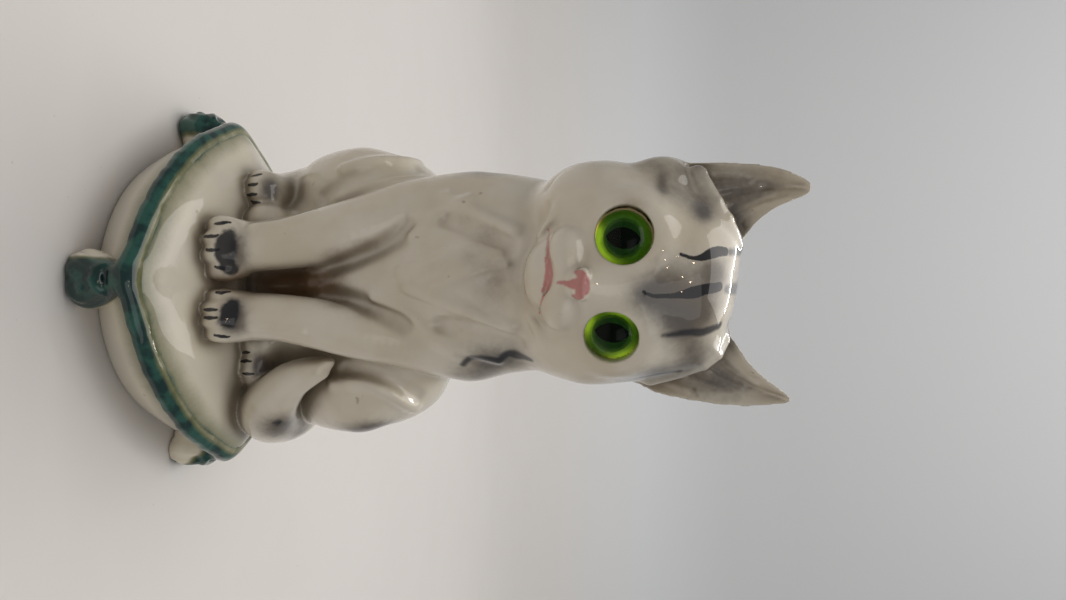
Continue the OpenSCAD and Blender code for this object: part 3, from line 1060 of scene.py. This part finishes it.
def trim_paints(clay, points, normals):
    x, y, z = points.T
    corner = np.round(np.arctan2(y, x) / (math.pi / 2)) * math.pi / 2
    out = x * np.cos(corner) + y * np.sin(corner)
    side = -x * np.sin(corner) + y * np.cos(corner)
    # bare clay on a tassel's back and on one of its flanks, below the knot
    back = np.where(z < SEAM_Z - 3.5, np.clip((53.0 - out + 0.25 * np.abs(side)) * 0.9, -3, 3), -3)
    flank = np.where(z < SEAM_Z - 5, np.clip((-5.0 - side) * 1.3, -3, 2), -3)
    # the piping's upper side, where the green thins over bare clay
    u, v = cord_section(x, y, z)
    rise = v * 0.62 - u * 0.79
    on_piping = distance_of_piping(points) < 3.6
    return {
        "green": np.where(on_piping, np.clip(rise * 0.8 - 0.3, -3, 0.9), np.maximum(back, flank)),
        "cavity": cavity(clay, points, normals),
        "thin": thinness(clay, points, normals),
    }


# ---------------------------------------------------------------- materials

class Nodes:
    """Short ways to build a material's nodes."""

    def __init__(self, name):
        self.material = bpy.data.materials.new(name)
        self.material.use_nodes = True
        self.tree = self.material.node_tree
        self.shader = next(n for n in self.tree.nodes if n.type == "BSDF_PRINCIPLED")
        self.place = self.tree.nodes.new("ShaderNodeTexCoord").outputs["Object"]

    def link(self, source, socket):
        if isinstance(source, (int, float)):
            socket.default_value = source
        elif isinstance(source, (tuple, list)):
            socket.default_value = (*source, 1.0)[:len(socket.default_value)]
        else:
            self.tree.links.new(source, socket)

    def add(self, kind, **inputs):
        node = self.tree.nodes.new("ShaderNode" + kind)
        for name, value in inputs.items():
            self.link(value, node.inputs[name.replace("_", " ")])
        return node

    def math(self, operation, a, b=0.0, clamp=False):
        node = self.add("Math")
        node.operation = operation
        node.use_clamp = clamp
        self.link(a, node.inputs[0])
        self.link(b, node.inputs[1])
        return node.outputs[0]

    def value(self, name):
        node = self.add("Attribute")
        node.attribute_name = name
        return node.outputs["Fac"]

    def noise(self, scale, detail=2.0, roughness=0.5):
        """Noise with this many waves a metre."""
        node = self.add("TexNoise", Scale=scale, Detail=detail, Roughness=roughness, Vector=self.place)
        return node.outputs["Fac"]

    def ramp(self, value, low, high):
        """0 at low, 1 at high, smooth between them."""
        falls = low > high
        node = self.add("MapRange", Value=value, From_Min=min(low, high), From_Max=max(low, high),
                        To_Min=float(falls), To_Max=float(not falls))
        node.interpolation_type = "SMOOTHSTEP"
        return node.outputs["Result"]

    def sway(self, value, noise, amount):
        """The value pushed up and down by centred noise."""
        return self.math("ADD", value, self.math("MULTIPLY", self.math("SUBTRACT", noise, 0.5), amount))

    def mix(self, share, a, b):
        node = self.add("Mix")
        node.data_type = "RGBA"
        self.link(share, node.inputs["Factor"])
        self.link(a, node.inputs[6])
        self.link(b, node.inputs[7])
        return node.outputs[2]

    def over(self, colour, share, strength, top):
        """The colour with another over it, this strong where share is 1."""
        return self.mix(self.math("MULTIPLY", share, strength), colour, top)

    def bump(self, height, strength, distance):
        return self.add("Bump", Strength=strength, Distance=distance, Height=height).outputs["Normal"]

    def set(self, **values):
        for name, value in values.items():
            self.link(value, self.shader.inputs[name.replace("_", " ")])


WHITE = (0.750, 0.690, 0.575)
WARM_WHITE = (0.680, 0.600, 0.470)
CREAM = (0.800, 0.730, 0.580)
CREVICE_STAIN_AND_SHADE = (0.190, 0.145, 0.090)
GREY_INK = (0.110, 0.087, 0.068)
BLUE_GREY = (0.090, 0.080, 0.077)
BROWN_INK_AND_SHADE = (0.130, 0.068, 0.030)
BLACK_INK = (0.008, 0.008, 0.011)
SOFT_BLACK = (0.018, 0.019, 0.026)
SOCKET_SHADE = (0.16, 0.11, 0.05)
ROSE_INK = (0.52, 0.14, 0.14)
TEAL = (0.004, 0.030, 0.026)
TEAL_POOL_AND_SHADE = (0.004, 0.024, 0.022)
TEAL_THIN = (0.022, 0.096, 0.072)
TEAL_PALE = (0.110, 0.200, 0.150)
OLIVE = (0.170, 0.175, 0.075)
SPECK = (0.20, 0.13, 0.07)


def gloss(n):
    """The clear glaze: a smooth coat over the body."""
    n.set(Roughness=0.32, IOR=1.5, Specular_IOR_Level=0.1)
    n.set(Coat_Weight=1.0, Coat_Roughness=0.025, Coat_IOR=1.52)


def porcelain(name, painted=True):
    """Glazed clay: a mottled body, creases darkened by stain, glaze pooling and painted shade, airbrushed
    greys, brushed lines and the green's bleed.
    """
    n = Nodes(name)
    cloudy, fine, brush = n.noise(38, 3), n.noise(420, 3, 0.6), n.noise(900, 2)
    colour = n.mix(n.ramp(cloudy, 0.38, 0.66), WHITE, WARM_WHITE if painted else CREAM)
    # creases darkened: stain and glaze pooling, and painted shade
    crevice_stain_and_shade = n.ramp(n.sway(n.value("cavity"), cloudy, 0.2), 0.10, 0.85)
    colour = n.over(colour, crevice_stain_and_shade, 0.8, CREVICE_STAIN_AND_SHADE)
    colour = n.over(colour, n.ramp(n.noise(240, 2, 0.4), 0.73, 0.80), 0.45, SPECK)
    # brown: airbrush and stains, and painted shade between the legs and under the chin
    colour = n.over(colour, n.ramp(n.sway(n.value("brown"), fine, 0.3), 0.15, 1.2), 0.92, BROWN_INK_AND_SHADE)
    if painted:
        tint = n.mix(n.ramp(n.noise(60, 2), 0.35, 0.65), GREY_INK, BLUE_GREY)
        grey = n.ramp(n.sway(n.sway(n.value("grey"), fine, 0.3), n.noise(150, 2), 0.35), 0.02, 1.1)
        # painted highlight: the grey drawn paler on thin rims such as the ears'
        rim_highlight = n.math("MULTIPLY", n.ramp(n.value("thin"), 0.25, 0.8), 0.45)
        colour = n.over(colour, n.math("SUBTRACT", grey, rim_highlight, clamp=True), 0.9, tint)
        soft = n.ramp(n.sway(n.value("soft_ink"), fine, 0.9), 0.9, -0.6)
        colour = n.over(colour, soft, 0.86, SOFT_BLACK)
        black = n.ramp(n.sway(n.sway(n.value("black"), fine, 0.5), n.noise(260, 2), 1.3), 0.35, 1.15)
        colour = n.over(colour, black, 0.93, BLACK_INK)
        colour = n.over(colour, n.ramp(n.sway(n.value("rose"), brush, 0.5), 0.35, -0.45), 0.82, ROSE_INK)
        colour = n.over(colour, n.ramp(n.sway(n.value("ink"), brush, 0.35), 0.22, -0.18), 0.97, BLACK_INK)
        # painted shade inside the eye sockets
        colour = n.mix(n.value("socket"), colour, SOCKET_SHADE)
    bleed = n.sway(n.sway(n.value("green"), n.noise(120, 3), 2.6), brush, 0.8)
    colour = n.over(colour, n.ramp(bleed, 6.5, 0.0), 0.75, OLIVE)
    colour = n.mix(n.ramp(bleed, 1.0, -1.2), colour, TEAL_THIN)
    waves = n.math("ADD", n.noise(75, 2), n.math("MULTIPLY", n.noise(330, 2), 0.25))
    n.set(Base_Color=colour, Normal=n.bump(waves, 0.10, 0.0012))
    gloss(n)
    return n.material


def green_glaze():
    """Dark teal that runs thin and pale on high edges and leaves bare clay inside the tassels."""
    n = Nodes("green_glaze")
    cloudy, fine = n.noise(150, 3), n.noise(700, 3, 0.6)
    colour = n.mix(n.ramp(cloudy, 0.40, 0.62), TEAL, TEAL_THIN)
    colour = n.over(colour, n.ramp(n.sway(n.value("thin"), fine, 0.45), 0.5, 1.0), 0.5, TEAL_PALE)
    # darker teal in hollows: glaze pooling and painted shade
    colour = n.over(colour, n.ramp(n.sway(n.value("cavity"), fine, 0.3), 0.25, 0.75), 0.85, TEAL_POOL_AND_SHADE)
    bare = n.sway(n.value("green"), cloudy, 1.4)
    colour = n.mix(n.ramp(bare, -0.2, 1.0), colour, OLIVE)
    colour = n.mix(n.ramp(bare, 0.7, 2.0), colour, CREAM)
    waves = n.math("ADD", n.noise(260, 2), n.math("MULTIPLY", fine, 0.3))
    n.set(Base_Color=colour, Normal=n.bump(waves, 0.22, 0.0008))
    gloss(n)
    return n.material


def green_glass():
    """Clear green glass. Its dark tint keeps the room's reflection off the pupil."""
    n = Nodes("eye_glass")
    n.set(Base_Color=(0.13, 0.60, 0.06), Transmission_Weight=1.0, IOR=1.42, Roughness=0.0)
    n.set(Specular_Tint=(0.3, 0.3, 0.3))
    return n.material


def pupil_enamel():
    n = Nodes("pupil_enamel")
    n.set(Base_Color=n.mix(n.noise(900), (0.002, 0.003, 0.002), (0.006, 0.007, 0.005)))
    n.set(Roughness=n.math("ADD", n.math("MULTIPLY", n.noise(1500), 0.1), 0.5), Specular_IOR_Level=0)
    return n.material


def painted_shade_disc():
    """Painted shade for the dark hollow behind the glass, with a painted light on its rim where the glass
    would gather light.
    """
    n = Nodes("painted_shade_disc")
    dark = n.mix(n.noise(600, 3), (0.14, 0.16, 0.14), (0.04, 0.06, 0.05))
    lit = n.ramp(n.value("catch"), 0.15, 1.0)
    n.set(Base_Color=n.mix(lit, dark, (0.45, 0.36, 0.20)), Roughness=0.6, Specular_IOR_Level=0)
    return n.material


def cement():
    """Grainy cement, with a painted light and a weak painted glow where the glass would gather light on it.
    """
    n = Nodes("cement")
    grains = n.noise(2600, 4, 0.7)
    catch = n.value("catch")
    body = n.mix(grains, (0.66, 0.53, 0.32), (0.42, 0.31, 0.15))
    n.set(Base_Color=n.mix(catch, body, (1.0, 0.95, 0.5)), Normal=n.bump(grains, 0.5, 0.0003), Roughness=0.85)
    # painted glow: emission where the glass would gather light
    n.set(Emission_Color=n.mix(catch, (0, 0, 0), (1.0, 0.6, 0.1)), Emission_Strength=0.5)
    n.set(Specular_IOR_Level=0)
    return n.material


def floor_material():
    n = Nodes("floor")
    colour = n.mix(n.noise(9, 4, 0.6), (0.74, 0.71, 0.68), (0.69, 0.655, 0.62))
    colour = n.over(colour, n.ramp(n.noise(300, 3, 0.7), 0.69, 0.76), 0.4, (0.30, 0.25, 0.20))
    colour = n.mix(n.value("rise"), colour, (0.77, 0.785, 0.80))
    n.set(Base_Color=colour, Roughness=0.6)
    return n.material


# ---------------------------------------------------------------- the pieces

def fit(piece, material, node=None):
    """Gives a piece its body and material, and has it stand in for a CAD node."""
    piece.data.materials.append(material)
    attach(piece, BODY)
    if node:
        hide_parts(node)


def relax(points, quads, amount, rounds=4):
    """Draws each point towards the middle of its neighbours, by its own amount."""
    for _ in range(rounds):
        total, count = np.zeros_like(points), np.zeros(len(points))
        for k in (1, 3):
            np.add.at(total, quads.ravel(), points[np.roll(quads, k, axis=1)].reshape(-1, 3))
            np.add.at(count, quads.ravel(), 1)
        points = points + amount[:, None] * (total / count[:, None] - points)
    return points


def make_kitten():
    clay = sculpt_kitten()
    points, quads, normals = clay.skin()
    points = relax(points, quads, 0.6 * np.clip(thinness(clay, points, normals) * 2 - 0.4, 0, 1))
    paints = kitten_paints(clay, points, normals)
    names = list(PARTS) + ["cushion"]
    centre = points[quads].mean(1)
    owner = np.argmin([part_distance(name, centre) for name in names], axis=0)
    white, grey = porcelain("white_porcelain"), porcelain("grey_marked_porcelain")
    cream = porcelain("cushion_porcelain", painted=False)
    for i, name in enumerate(names):
        title = name if name == "cushion" else "kitten_" + name
        piece = piece_of(points, quads, normals, paints, owner == i, title, 2.0)
        if name in ("tail", "ear_left", "ear_right"):
            fit(piece, grey, name)
        else:
            fit(piece, cream if name == "cushion" else white, name)


def make_trim():
    clay, parts = sculpt_trim()
    points, quads, normals = clay.skin()
    paints = trim_paints(clay, points, normals)
    x, y, z = points[quads].mean(1).T
    names = list(parts)
    far = [np.minimum.reduce([shape.distance(x, y, z) for shape in parts[name]]) for name in names]
    owner = np.argmin(far, axis=0)
    material = green_glaze()
    for i, name in enumerate(names):
        piece = piece_of(points, quads, normals, paints, owner == i, "green_" + name)
        fit(piece, material, name)


SEGMENTS = 96
AROUND = 2 * math.pi * np.arange(SEGMENTS) / SEGMENTS


def in_eye(side, points):
    """Points given in an eye's own axes, from the middle of its rim."""
    return points @ eye_turn(side).T + eye_middle(side)


def lathe(name, profile, side, wobble=None):
    """Turns a profile of (radius, height) round an eye's line of sight. Ends on the axis close it."""
    rows, faces = [], []
    for r, z in profile:
        if r == 0:
            rows.append(np.array([[0, 0, z]]))
            continue
        swing = 1 if wobble is None else 1 + wobble(AROUND, z)
        x, y = r * np.cos(AROUND) * swing, r * np.sin(AROUND) * swing
        rows.append(np.stack([x, y, np.full(SEGMENTS, z)], 1))
    start = np.cumsum([0] + [len(r) for r in rows])
    count = len(rows)
    for i in range(count if profile[0][0] else count - 1):
        a, b = i, (i + 1) % count
        for j in range(SEGMENTS):
            k = (j + 1) % SEGMENTS
            if len(rows[a]) == 1:
                faces.append((start[a], start[b] + k, start[b] + j))
            elif len(rows[b]) == 1:
                faces.append((start[a] + j, start[a] + k, start[b]))
            else:
                faces.append((start[b] + j, start[a] + j, start[a] + k, start[b] + k))
    return new_object(name, in_eye(side, np.vstack(rows)), [tuple(int(v) for v in f) for f in faces])


# Where round each eye painted light stands for light that the glass gathers behind it: direction in degrees,
# and spread
CATCHES = {-1: [(-50, 0.75), (-95, 0.3)], 1: [(165, 0.6), (25, 0.5), (-100, 0.5)]}


# Heights along an eye's line of sight, from the glass's rim
GLASS_DOME = 5.0
GLASS_BACK = -1.5
# The disc of painted shade behind the pupil, and half the pupil's width and height
DISC_R = 4.7
PUPIL_WIDE, PUPIL_TALL = 2.5, 4.2


def make_glass(side, name):
    ball = (EYE_R ** 2 + GLASS_DOME ** 2) / (2 * GLASS_DOME)
    top = math.asin((EYE_R - 0.3) / ball)
    profile = [(0, GLASS_BACK), (4, GLASS_BACK), (EYE_R - 0.4, GLASS_BACK), (EYE_R, -1.1), (EYE_R, -0.1)]
    profile += [(ball * math.sin(a), GLASS_DOME - ball + ball * math.cos(a)) for a in np.linspace(top, 0, 22)]
    profile[-1] = (0, GLASS_DOME)
    fit(lathe("glass_dome_" + name, profile, side), GLASS, "eye_glass_" + name)


def make_pupil(side, name):
    """A slit between two arcs, with rounded edges."""
    arc = (PUPIL_WIDE ** 2 + PUPIL_TALL ** 2) / (2 * PUPIL_WIDE)
    end = math.asin(PUPIL_TALL / arc)
    right = [(arc * math.cos(a) - arc + PUPIL_WIDE, arc * math.sin(a)) for a in np.linspace(-end, end, 25)]
    outline = np.array(right + [(-x, -y) for x, y in right[1:-1]])
    rings = [(0.86, -1.30), (0.96, -1.32), (1.0, -1.45), (0.98, -1.7), (0.88, -1.8)]
    points = np.vstack([np.c_[outline * size, np.full(len(outline), z)] for size, z in rings])
    count = len(outline)
    last = (len(rings) - 1) * count
    faces = [tuple(range(count)), tuple(last + i for i in reversed(range(count)))]
    for a in range(0, last, count):
        b = a + count
        faces += [(a + (i + 1) % count, a + i, b + i, b + (i + 1) % count) for i in range(count)]
    pupil = new_object("slit_pupil_" + name, in_eye(side, points), faces)
    fit(pupil, PUPIL, "eye_pupil_" + name)


def make_disc(side, name):
    profile = [(0, -2.6), (DISC_R, -2.6), (DISC_R, -1.44), (3.4, -1.40), (0, -1.38)]
    disc = lathe("dark_disc_" + name, profile, side)
    # painted light on the disc's rim
    paint(disc, "catch", np.r_[0, np.ones(2 * SEGMENTS), np.zeros(SEGMENTS), 0])
    fit(disc, DISC)


def make_cement(side, name):
    def rough(angles, z):
        wave = 0.012 * np.sin(5 * angles + side) + 0.008 * np.sin(13 * angles + z)
        return wave + 0.006 * np.sin(29 * angles)

    # from outside the glass over its rim to the seat behind it
    seat = [(EYE_R + 0.8, -3.0), (EYE_R + 0.75, -0.2), (EYE_R + 0.4, 0.25), (EYE_R + 0.08, -0.1),
            (EYE_R - 0.1, -1.1), (EYE_R - 0.3, -1.40), (6.0, -1.44), (4.4, -1.46), (4.4, -3.0)]
    ring = lathe("cement_ring_" + name, seat, side, rough)
    # where the painted light falls round the rim
    catch = 0
    for degrees, spread in CATCHES[side]:
        away = np.angle(np.exp(1j * (AROUND - math.radians(degrees))))
        catch = catch + np.exp(-(away / spread) ** 2)
    seen = [float(z > -2 and r > 5) for r, z in seat]
    paint(ring, "catch", np.outer(seen, catch).ravel())
    fit(ring, CEMENT, "eye_cement_" + name)


# ---------------------------------------------------------------- stage

def make_stage():
    near, far, rise, half = -1.2, 0.62, 0.30, 2.2
    profile = [(near, 0.0), (-0.4, 0.0), (0.2, 0.0), (far, 0.0)]
    sweep = np.linspace(0.12, math.pi / 2, 14)
    profile += [(far + rise * math.sin(a), rise - rise * math.cos(a)) for a in sweep]
    profile += [(far + rise, 2.6)]
    rows = [[(-half, y, z), (half, y, z)] for y, z in profile]
    points = np.array([p for row in rows for p in row]) / MM
    faces = [(2 * i, 2 * i + 1, 2 * i + 3, 2 * i + 2) for i in range(len(rows) - 1)]
    floor = new_object("floor", points, faces)
    paint(floor, "rise", np.clip((points[:, 2] * MM - 0.02) / 0.15, 0, 1))
    floor.data.materials.append(floor_material())


def stand(name, data, axes, at):
    """An object at a place, turned to these axes."""
    obj = bpy.data.objects.new(name, data)
    bpy.context.scene.collection.objects.link(obj)
    obj.matrix_world = Matrix([[*row, p] for row, p in zip(np.stack(axes, 1), at)] + [[0, 0, 0, 1]])
    return obj


def area_light(name, at, target, size, power, colour):
    data = bpy.data.lights.new(name, "AREA")
    data.shape = "RECTANGLE"
    data.size, data.size_y = size
    data.energy = power
    data.color = colour
    at, target = np.array(at, float), np.array(target, float)
    back = (at - target) / np.linalg.norm(at - target)
    across = np.cross([0, 1.0, 0] if abs(back[2]) > 0.9 else [0, 0, 1.0], back)
    across /= np.linalg.norm(across)
    stand(name, data, (across, np.cross(back, across), back), at)


def make_lights():
    """A broad lamp overhead, a strip that lines the crown, a window in front and four small lamps."""
    scene = bpy.context.scene
    scene.view_settings.view_transform = "Standard"
    world = bpy.data.worlds.new("studio")
    scene.world = world
    world.use_nodes = True
    background = world.node_tree.nodes["Background"]
    background.inputs["Color"].default_value = (0.93, 0.96, 1.0, 1)
    background.inputs["Strength"].default_value = 0.22
    middle = (0, 0, 0.11)
    area_light("key", (-0.12, 0.10, 1.25), middle, (1.3, 1.3), 10.0, (1, 0.975, 0.945))
    area_light("strip", (-0.02, 0.42, 0.75), (0, 0, 0.18), (0.42, 0.03), 1.2, (1, 0.98, 0.95))
    area_light("window", (0.30, -0.50, 0.50), middle, (0.5, 0.4), 0.4, (1, 0.98, 0.96))
    sparks = [(0.10, -0.55, 0.62), (0.02, -0.60, 0.56), (-0.09, -0.57, 0.60), (0.20, -0.5, 0.52)]
    for i, at in enumerate(sparks):
        area_light(f"spark_{i}", at, middle, (0.010, 0.010), 0.02, (1, 0.72, 0.5))


def make_camera():
    """The picture is taken with the camera on its side, so the kitten's head points to the right."""
    pitch, yaw = math.radians(7.696), math.radians(2.883)
    forward = np.array([-math.sin(yaw) * math.cos(pitch), math.cos(yaw) * math.cos(pitch), -math.sin(pitch)])
    right = np.array([math.cos(yaw), math.sin(yaw), 0])
    up = np.cross(right, forward)
    at = np.array([16.3, -254.5, 159.4]) * MM
    data = bpy.data.cameras.new("camera")
    data.lens, data.sensor_width = 26, 36
    data.clip_start = 0.01
    bpy.context.scene.camera = stand("camera", data, (up, -right, -forward), at)


make_camera()
make_lights()
make_stage()
GLASS, PUPIL, DISC, CEMENT = green_glass(), pupil_enamel(), painted_shade_disc(), cement()
make_kitten()
make_trim()
for side, name in ((1, "left"), (-1, "right")):
    for make in (make_glass, make_pupil, make_disc, make_cement):
        make(side, name)
